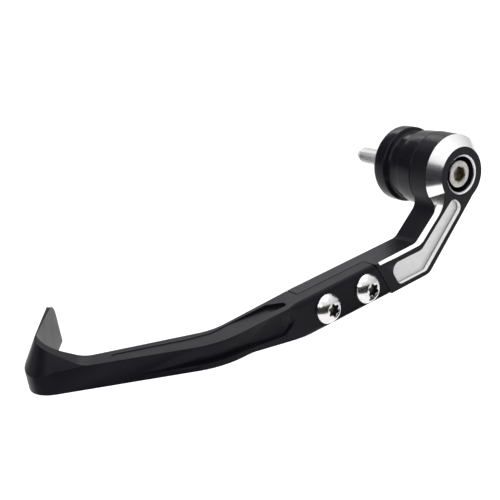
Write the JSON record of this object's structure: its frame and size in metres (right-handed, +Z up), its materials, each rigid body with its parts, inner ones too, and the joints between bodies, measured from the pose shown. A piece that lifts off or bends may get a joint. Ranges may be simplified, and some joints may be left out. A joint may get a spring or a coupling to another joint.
{
  "type": "brake lever guard",
  "caption": "Bar-end brake lever guard: a chamfered arm on a round boss carries a screwed-on black bow that ends in a raised hooked fin; a bolt and a collar fix it to the bar end.",
  "frame": {"origin": "on the bar axis, at the rear face of the collar that seats on the end of the handlebar", "axes": "+X outward along the handlebar, -Y ahead of it toward the lever's front, +Z up"},
  "size_m": [0.0747, 0.1746, 0.0441],
  "materials": {
    "black_anodised": "satin black anodising, with bright-cut silver chamfers and pocket on the arm",
    "bright_cut": "bare aluminium with fine milling lines",
    "polished_steel": "polished",
    "stainless_steel": "turned, slightly worn",
    "gloss_black": "gloss black anodising"
  },
  "bodies": {
    "root": {"guard_arm": "black_anodised", "guard_bow": "black_anodised", "joint_screws": "polished_steel", "bar_bolt": "stainless_steel", "bar_collar": "gloss_black"}
  },
  "joints": []
}
